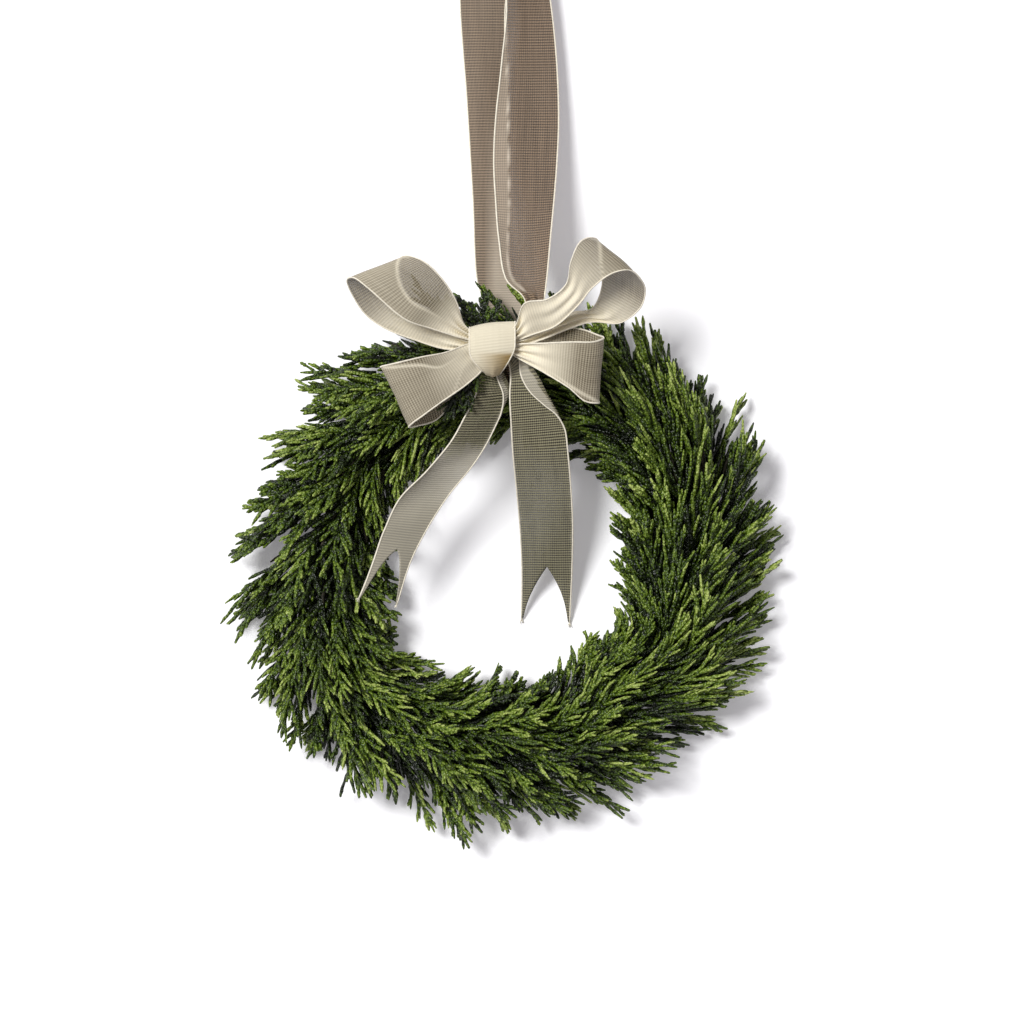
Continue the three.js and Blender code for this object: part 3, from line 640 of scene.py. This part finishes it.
class Ribbon:
    """A ribbon held by its two edges. Each station is a point of its left edge, one of its right
    edge, and how far its middle stands out between them. Where it is held narrower than it is
    woven, it lies in pleats, as deep as gathers says at its start and its end. Notches are how far
    its ends are cut back, creases say at which stations it is folded over, where, and what share of
    it lies left of the fold, and closeness is how much of its gaps its threads fill, at even steps
    along it."""

    def __init__(self, stations, notches=(0, 0), gathers=(0, 0), crumple=0.0, seed=0, creases=None,
                 closeness=(0, 0)):
        self.left = [seen(station[0:3]) for station in stations]
        self.right = [seen(station[3:6]) for station in stations]
        self.bulges = [station[6] if len(station) > 6 else 0 for station in stations]
        self.notches, self.gathers, self.crumple, self.seed = notches, gathers, crumple, seed
        self.closeness = closeness
        self.creases, self.shares = list(self.right), [1] * len(stations)
        for k, (*crease, share) in (creases or {}).items():
            self.creases[k], self.shares[k] = seen(crease), share
        middles = [self.plain(k / MEASURES, 0.5) for k in range(MEASURES + 1)]
        self.lengths = [0.0]
        for a, b in zip(middles, middles[1:]):
            self.lengths.append(self.lengths[-1] + (b - a).length)

    def eased(self, values, t):
        """The value at t where values stand at even steps along the ribbon."""
        last = len(values) - 1
        k = min(int(t * last), last - 1)
        share = t * last - k
        return lerp(values[k], values[k + 1], share * share * (3 - 2 * share))

    def plain(self, t, u):
        """The point at t along and u across, without its bulge and pleats."""
        return through(self.left, t).lerp(through(self.right, t), u)

    def normal(self, t):
        near = 0.004
        along = self.plain(min(t + near, 1), 0.5) - self.plain(max(t - near, 0), 0.5)
        return (through(self.right, t) - through(self.left, t)).cross(along).normalized()

    def slack(self, t):
        """The share of the ribbon's width that is taken up in pleats."""
        crease = through(self.creases, t)
        wide = (crease - through(self.left, t)).length + (through(self.right, t) - crease).length
        return max(0, 1 - wide / RIBBON_WIDTH)

    def row(self, t, across):
        """The points across the ribbon at t, at each of the shares in across."""
        left, crease, right = (through(points, t) for points in (self.left, self.creases, self.right))
        share, bulge, normal = self.eased(self.shares, t), self.eased(self.bulges, t), self.normal(t)
        depth = self.eased(self.gathers, t) * self.slack(t) ** PLEAT_POWER * min(1, left.z / PLEAT_ROOM)
        length = self.length_to(t)
        points = []
        for u in across:
            if u < share:
                point = left.lerp(crease, u / share)
            else:
                point = crease.lerp(right, (u - share) / (RIGHT_EDGE - share))
            pleat = depth * math.sin(2 * math.pi * (PLEATS * u + PLEAT_SHIFT * self.seed))
            dent = noise.noise(Vector((length / CRUMPLE_LENGTH, u * CRUMPLE_ACROSS, self.seed)))
            points.append(point + normal * (bulge * 4 * u * (1 - u) + pleat + dent * self.crumple))
        return points

    def length_to(self, t):
        """The length of the ribbon from its start to t."""
        k = min(int(t * MEASURES), MEASURES - 1)
        return lerp(self.lengths[k], self.lengths[k + 1], t * MEASURES - k)

    def trimmed(self, t, u):
        """Where t lies once the ends are cut, as swallow tails, most in the middle."""
        inside = (1 - abs(2 * u - 1) - BLUNT) / (1 - BLUNT)
        cut = max(0, inside) ** NOTCH_CURVE
        return lerp(self.notches[0] * cut, 1 - self.notches[1] * cut, t)


FILLED_PALENESS = 0.33  # of cloth whose threads lie so close that they leave no gaps


def add_sheet(bm, ribbon, across, along):
    """Adds the ribbon's cloth, in so many faces across and along. Its UV map is its place on the
    flat ribbon, in millimetres, and it is pale where it is gathered, because many layers of thread
    lie close there."""
    flat = bm.loops.layers.uv.get("flat") or bm.loops.layers.uv.new("flat")
    layers = bm.verts.layers.float
    pale, close = (layers.get(name) or layers.new(name) for name in ("pale", "close"))
    made = bmesh.ops.create_grid(bm, x_segments=across, y_segments=along, size=0.5)
    for vert in made["verts"]:
        u = vert.co.x + 0.5
        t = ribbon.trimmed(vert.co.y + 0.5, u)
        for loop in vert.link_loops:
            loop[flat].uv = (u * RIBBON_WIDTH, ribbon.length_to(t))
        filled = ribbon.eased(ribbon.closeness, t)
        vert[close] = min(1, filled + ribbon.slack(t))
        vert[pale] = min(1, filled * FILLED_PALENESS + max(0, ribbon.slack(t) - LOOSE) / LOOSE_TO_TIGHT)
        vert.co = place(ribbon.row(t, [u])[0])


CORD_SIDES = 6
WAVER, WAVER_LENGTH = 0.22, 2.2  # how much the edge's cord swells and narrows, and how often


def add_selvage(bm, ribbon, side, steps):
    """Adds the cord of one of the ribbon's edges; side is 0 for the left and 1 for the right."""
    near = 0.002
    cord = bmesh.new()
    bmesh.ops.create_cone(cord, cap_ends=True, segments=CORD_SIDES, radius1=1, radius2=1, depth=1)
    flanks = [edge for edge in cord.edges if abs(edge.verts[0].co.z - edge.verts[1].co.z) > 0.5]
    bmesh.ops.subdivide_edges(cord, edges=flanks, cuts=steps - 1, use_grid_fill=True)
    for vert in cord.verts:
        t = vert.co.z + 0.5
        here = ribbon.row(t, [side])[0]
        along = ribbon.row(min(t + near, 1), [side])[0] - ribbon.row(max(t - near, 0), [side])[0]
        across = (through(ribbon.right, t) - through(ribbon.left, t)).normalized()
        up = across.cross(along).normalized()
        swell = noise.noise(Vector((ribbon.length_to(t) / WAVER_LENGTH, side * 9, ribbon.seed)))
        girth = SELVAGE * (1 + WAVER * swell)
        vert.co = place(here + (across * vert.co.x + up * vert.co.y) * girth)
    bmesh.ops.recalc_face_normals(cord, faces=cord.faces)
    mesh = as_mesh("cord", cord)
    bm.from_mesh(mesh)
    bpy.data.meshes.remove(mesh)


LINE_STEPS = 600
LINE_REACH, LINE_PALENESS = 1.25, 0.8  # how far beside it an edge shows through, and how clearly
SHOW_DEPTH = 44  # how far down one sheet shows through another


def show_through(bm, ribbons, paleness, verts=None, gap=1):
    """Makes a sheet paler where another lies more than gap below it, whose threads add to its own,
    and palest along the other's corded edges."""
    pale = bm.verts.layers.float["pale"]
    sheet = BVHTree.FromBMesh(bm)
    cords = [
        place(ribbon.row(k / LINE_STEPS, [side])[0])
        for ribbon in ribbons for side in (0, 1) for k in range(LINE_STEPS + 1)
    ]
    tree = KDTree(len(cords))
    for k, cord in enumerate(cords):
        tree.insert((cord.x, cord.y, 0), k)
    tree.balance()
    for vert in verts or bm.verts:
        if sheet.ray_cast(vert.co - Vector((0, 0, gap * MM)), (0, 0, -1), SHOW_DEPTH * MM)[0]:
            vert[pale] = lerp(paleness, 1, vert[pale])
        for _, k, distance in tree.find_range((vert.co.x, vert.co.y, 0), LINE_REACH * MM):
            if gap * MM < vert.co.z - cords[k].z < SHOW_DEPTH * MM:
                vert[pale] = max(vert[pale], LINE_PALENESS * (1 - distance / (LINE_REACH * MM)))


WARP_STRENGTH = 0.6  # how clearly the threads along the ribbon show, beside those across it
# Painted light and shade: lengthwise streaks that stand for the cloth's soft folds along it.
PAINTED_FOLD_STREAKS = (0.45, 0.03, 1)  # streaks to a millimetre across the ribbon and along it
PAINTED_FOLD_STRENGTH = 0.5
BLOTCHES = 0.13  # patches to a millimetre where the weave shows more or less
OPENING = 1.2  # how much more open the cloth is between its threads


def organza(name, gap, thread, pale_thread, cover, relief_and_gap_shade):
    """Sheer cloth: the painted shade between its threads, the colour of its threads and where it is
    pale, what share of the light it stops, and how strongly its weave and that shade show."""
    finish = {"Roughness": 0.6, "Sheen Weight": 0.06, "Specular IOR Level": 0.12}
    material, tree, shader = new_material(name, finish)
    flat = add_node(tree, "UVMap", uv_map="flat").outputs["UV"]
    place_on = add_node(tree, "SeparateXYZ", {"Vector": flat})
    weft, warp = (
        math_node(tree, "SINE", math_node(tree, "MULTIPLY", place_on.outputs[axis], 2 * math.pi / pitch))
        for axis, pitch in (("Y", WEFT), ("X", WARP))
    )
    stretched = add_node(tree, "Mapping", {"Vector": flat, "Scale": PAINTED_FOLD_STREAKS}).outputs["Vector"]
    painted_fold = add_node(tree, "TexNoise", {"Vector": stretched, "Scale": 1.0, "Detail": 3}).outputs["Fac"]
    blotch = add_node(tree, "TexNoise", {"Vector": flat, "Scale": BLOTCHES, "Detail": 2}).outputs["Fac"]
    threads = math_node(tree, "MULTIPLY_ADD", warp, WARP_STRENGTH, weft)
    threads = math_node(tree, "MULTIPLY", threads, math_node(tree, "MULTIPLY", blotch, 2 * relief_and_gap_shade))
    painted_fold = math_node(tree, "SUBTRACT", painted_fold, 0.5)
    light = math_node(tree, "MULTIPLY_ADD", painted_fold, PAINTED_FOLD_STRENGTH, threads)
    pale, close = (
        add_node(tree, "Attribute", attribute_name=layer).outputs["Fac"] for layer in ("pale", "close")
    )
    # The cloth's wall has two faces, and each lets the square root of the light through.
    woven = math_node(tree, "MULTIPLY_ADD", threads, -OPENING, 1)
    open_share = math_node(tree, "MULTIPLY", math_node(tree, "SUBTRACT", 1, close), 1 - cover)
    open_share = math_node(tree, "MAXIMUM", math_node(tree, "MULTIPLY", open_share, woven), 0)
    each_face = math_node(tree, "POWER", open_share, 0.5)
    tree.links.new(math_node(tree, "SUBTRACT", 1, each_face), shader.inputs["Alpha"])
    # The colour runs from the painted shade between the threads to the threads' own colour, lit and
    # shaded further by the painted fold streaks.
    colour = ramp(tree, math_node(tree, "ADD", light, 0.5), ((0.0, gap), (1.0, thread)))
    mixed = add_node(tree, "MixRGB", {"Fac": pale, "Color1": colour, "Color2": (*pale_thread, 1)})
    dress(tree, shader, mixed.outputs["Color"], bump(tree, weft, distance=0.1 * MM, strength=0.5))
    return material


# The edge's cord is pale twisted thread, painted a little darker, as shade, in the grooves of its
# twists.
TWISTS = 1200  # to a metre
TWIST_SHADE, TWIST_PALE = (0.6318, 0.585, 0.4758), (0.81, 0.75, 0.61)
edge_cord, tree, shader = new_material("edge_cord", {"Roughness": 0.7, "Sheen Weight": 0.3})
twist = object_noise(tree, TWISTS)
twist_colour = ramp(tree, twist, ((0.3, TWIST_SHADE), (0.6, TWIST_PALE)))
dress(tree, shader, twist_colour, bump(tree, twist, distance=0.2 * MM))


def cloth_piece(name, bm, material):
    """A sheet as an object, with the cloth's thickness."""
    made = finished(name, bm, material)
    wall = made.modifiers.new("cloth", "SOLIDIFY")
    wall.thickness = CLOTH * MM
    wall.offset = 0
    return made


def selvages(name, ribbons, steps):
    """The corded edges of some ribbons, as one piece."""
    bm = bmesh.new()
    for ribbon in ribbons:
        for side in (0, 1):
            add_selvage(bm, ribbon, side, steps)
    made = finished(name, bm, edge_cord)
    return made


# The loop's stations: where its left and its right edge lie, how far up the wreath, how high over
# the floor, and how far its middle stands out.
HANGER = (
    (-3, 5, 90, 47.6),
    (6, 12.5, 103, 47.8),
    (7.4, 15.4, 116, 47),
    (-0.6, 16.6, 124.7, 43.5, -3),
    (-3.9, 18.2, 142, 34, -2.5),
    (-5.3, 19.8, 159, 25, -1),
    (-6.1, 21.1, 176, 18),
    (-5.3, 21.8, 193.5, 13.5),
    (-2.6, 20.9, 219, 10.5, -1),
    (-0.6, 18.2, 245, 10.5, -2),
    (-4, 15, 262, 11.5, -1),
    (-9, 11.5, 271, 9.8),
    (-13, 9, 274, 5.7),
    (-16.5, 6, 270, 1.7),
    (-20, 3, 260, 0.7),
    (-20.6, -0.9, 245, 0.6, -0.5),
    (-17.6, -0.2, 202, 0.6, -2),
    (-15, 0.3, 159, 0.6, -2),
    (-13.2, 1, 124.7, 0.6, -0.5),
    (-11, 7, 117.5, 0.6),
    (-8, 10, 108, 0.6),
    (2, 13.5, 92, 0.6),
    (6.5, 17, 76, 0.6),
    (6.5, 17, 62, 0.7),
    (6.5, 17, 56, 1.1),
    (6.5, 17, 53.5, 5),
    (6.5, 17, 53, 16),
    (6.5, 17, 53.5, 27),
    (6.5, 17, 55, 36),
    (6.5, 17, 61, 42),
    (3, 14, 72, 45),
    (-5, 6, 86, 46.2),
    (-9, 2, 95, 46.3),
)
hanger = Ribbon(
    [(left, y, z, right, y, z, *bulge) for left, right, y, z, *bulge in HANGER],
    gathers=(3.2, 14), crumple=0.5,
)
# The hanging loop is the same cream organza as the bow, painted darker and browner as shade, and darkest
# between its threads.
painted_shade_taupe = organza(
    "organza_taupe", gap=(0.045, 0.030, 0.017), thread=(0.290, 0.208, 0.139),
    pale_thread=(0.78, 0.69, 0.56), cover=0.93, relief_and_gap_shade=0.40,
)
bm = bmesh.new()
add_sheet(bm, hanger, across=56, along=200)

# The back strand is a little paler than the front one, and paler still at its right towards the
# bow. The front one is paler where it lies over the back one. Places are across and up the wreath
# from the ring's centre.
BACK_PALENESS, BOW_PALENESS, OVER_PALENESS = 0.12, 0.52, 0.3
FRONT_HEIGHT = 6  # over which the ribbon is the front strand
BOW_FROM, BOW_REACH = 205, 60
BOW_SIDE, BOW_SIDE_REACH = -10.5, 5


def reached(distance, reach):
    """How far distance has come on its way from 0 to reach, from 0 to 1."""
    return min(1, max(0, distance) / reach)


pale = bm.verts.layers.float["pale"]
for vert in bm.verts:
    sideways, up_wreath, height = (vert.co - place((0, 0, 0))) / MM
    near_bow = reached(BOW_FROM - up_wreath, BOW_REACH) * reached(sideways - BOW_SIDE, BOW_SIDE_REACH)
    vert[pale] = (BACK_PALENESS + BOW_PALENESS * near_bow) * max(0, 1 - height / FRONT_HEIGHT)
show_through(bm, [hanger], OVER_PALENESS)
piece = cloth_piece("hanging_loop_cloth", bm, painted_shade_taupe)
edges = selvages("hanging_loop_edges", [hanger], steps=300)
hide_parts("ribbon_hanger")

# The tails: one length of the same ribbon laid under the knot, with its two ends cut as swallow
# tails. The left one lies along the hole's edge, and the right one hangs down into the hole.
RIGHT_TAIL = (
    (24.6, 60, 45.2, 1.6, 58, 44.4),
    (25.8, 50, 41.5, 2.2, 49, 41.2),
    (27, 36, 34, 3.5, 36, 34),
    (27.8, 20, 24.5, 5, 20, 24.5),
    (27.5, 0, 12.5, 6, 0, 12.5),
    (26.5, -22.5, 1.2, 5.8, -20.5, 1.2),
)
TAILS_CLOSENESS = (0.85, 0.85, 0.5, 0, 0, 0.4, 0.78, 0.78, 0.78, 0.78, 0.78)
tails = Ribbon([
    (-64, -12, 38, -48, -15, 29, 0.5),
    (-57, 6, 40, -41.5, 4.5, 31, 0.5),
    (-53, 17.5, 42, -36, 15.5, 33),
    (-46, 31.5, 44, -26, 31.5, 37, -1),
    (-35, 42.5, 47, -16, 44, 40, -1),
    (-25, 54.5, 50, -9, 54.5, 43),
    (-18.5, 66, 51, -3.4, 66, 45.2),
    (-14, 75, 50.6, -2, 75, 48.8),
    (-12.5, 87, 49.5, -5, 84, 50.2),
    (-9, 98, 49.25, -4.5, 90, 49.25),
    (-1, 99, 49.25, -1, 90.5, 49.25),
    (4, 94, 49.25, 0.5, 88, 49.25),
    (5.8, 83.2, 50.6, 1.2, 83, 49),
    (9.5, 76.6, 50.2, 0.8, 76, 48.6),
    (15.5, 71, 49.2, 1, 69, 47.7),
    (21, 66.5, 47.6, 1.3, 64, 46.2),
    *RIGHT_TAIL,
], notches=(0.062, 0.051), gathers=(2, 2), crumple=0.5, closeness=TAILS_CLOSENESS, creases={
    7: (0.9, 76.5, 47.6, 0.82),
    8: (-0.3, 82, 49, 0.72),
    11: (4, 94, 49.25, 0),
    12: (13, 84, 49.6, 0.38),
    13: (16.8, 76.5, 49.2, 0.31),
    14: (20, 71, 48.4, 0.19),
    15: (22.7, 65.5, 47, 0.085),
    **{k: (*station[0:3], 0) for k, station in enumerate(RIGHT_TAIL, 16)},
})
# The tails are the same cream organza too, painted greyer and darker as shade, and nearly black between
# their threads as painted shade.
painted_shade_grey_cream = organza(
    "organza_grey_cream", gap=(0.008, 0.007, 0.003), thread=(0.276, 0.253, 0.152),
    pale_thread=(0.62, 0.575, 0.475), cover=0.62, relief_and_gap_shade=0.62,
)
bm = bmesh.new()
add_sheet(bm, tails, across=28, along=180)

# The left tail is painted paler, as painted light, where it has left the dark foliage, and most so
# above its tips. The cloth is pale where it lies double, too, and its layers lie close.
TAILS_PALENESS, END_PAINTED_LIGHT, DOUBLE_PALENESS = 0.2, (0.52, 0.66), 0.55
END_FROM, END_REACH, BETWEEN_TAILS = 55, 6, -10
TIPS_FROM, TIPS_REACH = 24, 12
DOUBLE_GAP = 0.3
pale = bm.verts.layers.float["pale"]
for vert in bm.verts:
    sideways, up_wreath, _ = (vert.co - place((0, 0, 0))) / MM
    end = reached(END_FROM - up_wreath, END_REACH) if sideways < BETWEEN_TAILS else 0
    paleness = lerp(*END_PAINTED_LIGHT, reached(up_wreath - TIPS_FROM, TIPS_REACH))
    vert[pale] = lerp(vert[pale] * TAILS_PALENESS, paleness, end)
show_through(bm, [tails], DOUBLE_PALENESS, gap=DOUBLE_GAP)
piece = cloth_piece("tails_cloth", bm, painted_shade_grey_cream)
edges = selvages("tails_edges", [tails], steps=180)
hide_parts("ribbon_tails")

# A few short threads have come loose at each of the four cut tips, and spread up off the floor.
FRAYS, FRAY_SEED, FRAY_SIDES = 6, 7, 5
FRAY_RADIUS, FRAY_LENGTH, FRAY_SPREAD = 0.28, (1.4, 2.4), 0.6
NEAR_TIP = 0.004
draw = Draw(FRAY_SEED)
bm = bmesh.new()
for side in (0, 1):
    for end, inside in ((0, NEAR_TIP), (1, 1 - NEAR_TIP)):
        tip, before = tails.row(end, [side])[0], tails.row(inside, [side])[0]
        for k in range(FRAYS):
            stray = Vector([draw.between(-FRAY_SPREAD, FRAY_SPREAD) for axis in "xyz"])
            stray.z = abs(stray.z)
            way = ((tip - before).normalized() + stray) * draw.between(*FRAY_LENGTH)
            turn = way.to_track_quat("Z", "Y").to_matrix().to_4x4()
            bmesh.ops.create_cone(
                bm, cap_ends=True, segments=FRAY_SIDES, depth=way.length * MM,
                radius1=FRAY_RADIUS * MM, radius2=FRAY_RADIUS / 2 * MM,
                matrix=Matrix.Translation(place(tip + way / 3)) @ turn,
            )
frays = finished("tails_frays", bm, edge_cord)

# The bow: one length of ribbon in four loops, two to each side, all gathered in the middle. Each
# goes out over the front, round its fold and back underneath.
HEART = (-7, 97, 56)
HEART_HALF = 2
heart = (HEART[0], HEART[1] - HEART_HALF, HEART[2], HEART[0], HEART[1] + HEART_HALF, HEART[2])
LOOPS = (
    (
        (-17.5, 99, 57.5, -17.5, 104, 57),
        (-33.5, 104, 63, -23, 117, 66),
        (-44.5, 108, 68, -29, 126, 71),
        (-59.8, 121, 70, -36, 132.5, 73),
        (-66.2, 125.7, 68, -42.5, 134.8, 71),
        (-69.2, 124.5, 61.5, -46.4, 134.2, 64.5),
        (-66.7, 118, 55, -47.5, 129, 58),
        (-61, 109.6, 51.5, -46.4, 122.6, 55.5),
        (-53, 104, 51, -41.5, 115, 54.5),
        (-40, 99, 51.5, -33.5, 110.5, 54.5),
        (-27, 95, 53, -23, 105, 54.5),
        (-17.5, 95, 54, -17.5, 100, 54.5),
    ),
    (
        (-10.5, 87, 56, -17.5, 97, 58),
        (-17, 80.5, 60, -27, 93.5, 62),
        (-29, 72, 64, -37, 91.6, 66),
        (-36.5, 66.5, 64.5, -48, 89, 66.5),
        (-41.3, 63, 61.5, -53.8, 87.6, 63.5),
        (-42.2, 61.5, 56.5, -55, 87, 58),
        (-39, 62, 53, -51, 86.8, 53.5),
        (-31, 64.5, 52, -37.5, 87.7, 52.5),
        (-25, 71.5, 52.3, -29, 87, 52.7),
        (-17.5, 89.5, 54, -17.5, 94.5, 54.5),
    ),
    (
        (3, 103.5, 58, 3.5, 99, 58.5),
        (7, 114.5, 64, 11.6, 101.5, 60),
        (17, 116.5, 67, 20.6, 105, 63),
        (25, 123, 70, 31, 114.6, 66.5),
        (27, 132.5, 74, 36, 121, 69.5),
        (31, 141, 76, 45, 127.7, 72),
        (35.3, 143, 74.5, 52.5, 129, 71.5),
        (38.7, 141.9, 68.5, 57.2, 125, 65),
        (39.6, 132.5, 61, 59, 119.5, 58.5),
        (40.4, 121.7, 56, 56.8, 112.7, 54.5),
        (36, 112.2, 54, 48, 106.2, 53),
        (28, 110.8, 54, 35, 106.5, 53),
        (3, 100, 55.5, 3.5, 96, 56),
    ),
    (
        (3, 97, 57.5, 3.5, 91.5, 57),
        (16.5, 97.6, 62, 16, 84.7, 59.5),
        (27.5, 98, 66, 25.8, 78.7, 62.5),
        (36, 98, 66, 33, 72.7, 62),
        (40, 99, 63.5, 37.8, 71.8, 59.5),
        (41.3, 100, 58.5, 39, 72.2, 54.5),
        (38.7, 101, 53.5, 37, 73, 51),
        (31, 103.6, 52, 28.8, 77.4, 50.5),
        (20, 103.6, 52.3, 18, 85, 51.8),
        (3, 96, 54.5, 3.5, 91.5, 54.5),
    ),
)
loops = [
    Ribbon([heart, *stations, heart], gathers=(4, 4), crumple=0.8, seed=k + 1)
    for k, stations in enumerate(LOOPS)
]
cream = organza(
    "organza_cream", gap=(0.118, 0.092, 0.052), thread=(0.402, 0.355, 0.262),
    pale_thread=(0.86, 0.79, 0.62), cover=0.93, relief_and_gap_shade=0.32,
)
bm = bmesh.new()
for loop in loops:
    add_sheet(bm, loop, across=36, along=110)

# Each loop is pale where its two layers lie over each other.
LOOPS_PALENESS = (0.26, 0.16, 0.08, 0.06)
bm.verts.ensure_lookup_table()
each = len(bm.verts) // len(loops)
for k, paleness in enumerate(LOOPS_PALENESS):
    show_through(bm, loops, paleness, bm.verts[k * each:(k + 1) * each])
piece = cloth_piece("bow_cloth", bm, cream)
edges = selvages("bow_edges", loops, steps=110)
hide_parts("ribbon_bow")

# The knot: a short length of the ribbon wound close over the bow's gathered middle. It covers it
# wide and smooth in front, and draws in to a narrow, shaded flap underneath.
KNOT_MIDDLE = (-6.8, 95.1, 56)
KNOT_HALF = (9.8, 3.4)  # its half width in front and at the flap
KNOT_OVAL = (10.5, 6.0)  # its reach up the wreath and out of its face
KNOT_TILT = math.radians(7)
KNOT_STEPS = 16
KNOT_SEAM = 0.9  # radians from the flap to where its ends meet, underneath
KNOT_BULGE = (0.8, 2.0)
FLAP_SHAPE = 1.5  # the higher, the later the band narrows into the flap
FLAP_TWIST = 3  # how much deeper the flap's right edge lies than its left one
BAND_EDGE, BAND_SOFT = 93, 1.6  # where the flap starts, up the wreath, and how softly
FLAP_WIDTH, FLAP_SHADE = 13, (0.05, 1)  # its shade deepens from its left edge to its right one

stations = []
for k in range(KNOT_STEPS + 1):
    turn = 2 * math.pi * k / KNOT_STEPS - math.pi / 2 - KNOT_SEAM
    flap = max(0, -math.sin(turn)) ** FLAP_SHAPE
    half = lerp(*KNOT_HALF, flap)
    rise = KNOT_OVAL[0] * math.sin(turn)
    height = KNOT_MIDDLE[2] + KNOT_OVAL[1] * math.cos(turn)
    edges_here = []
    for way in (-half, half):
        lean = way * math.tan(KNOT_TILT)
        sunk = FLAP_TWIST * flap if way > 0 else 0
        edges_here += [KNOT_MIDDLE[0] + way, KNOT_MIDDLE[1] + rise + lean * (1 - flap), height - sunk]
    stations.append((*edges_here, lerp(*KNOT_BULGE, flap)))
knot = Ribbon(stations, gathers=(0.5, 6), crumple=0.7, seed=9)

# The knot's cloth lies so close that it hardly shows a weave, and its pale colour is partly that
# closeness and partly painted light on its front. In the flap its second colour is not pale but the
# painted brown shade of the hollow.
dense_and_lit_ivory = organza(
    "organza_ivory", gap=(0.66, 0.60, 0.45), thread=(0.80, 0.74, 0.58),
    pale_thread=(0.36, 0.25, 0.10), cover=0.97, relief_and_gap_shade=0.04,
)
bm = bmesh.new()
add_sheet(bm, knot, across=28, along=80)
shade = bm.verts.layers.float["pale"]
for vert in bm.verts:
    sideways, up_wreath, _ = (vert.co - place((KNOT_MIDDLE[0], 0, 0))) / MM
    hollow = lerp(*FLAP_SHADE, reached(sideways + FLAP_WIDTH / 2, FLAP_WIDTH))
    vert[shade] = hollow * reached(BAND_EDGE - up_wreath, BAND_SOFT)
piece = cloth_piece("knot_cloth", bm, dense_and_lit_ivory)
edges = selvages("knot_edges", [knot], steps=80)
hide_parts("ribbon_knot")
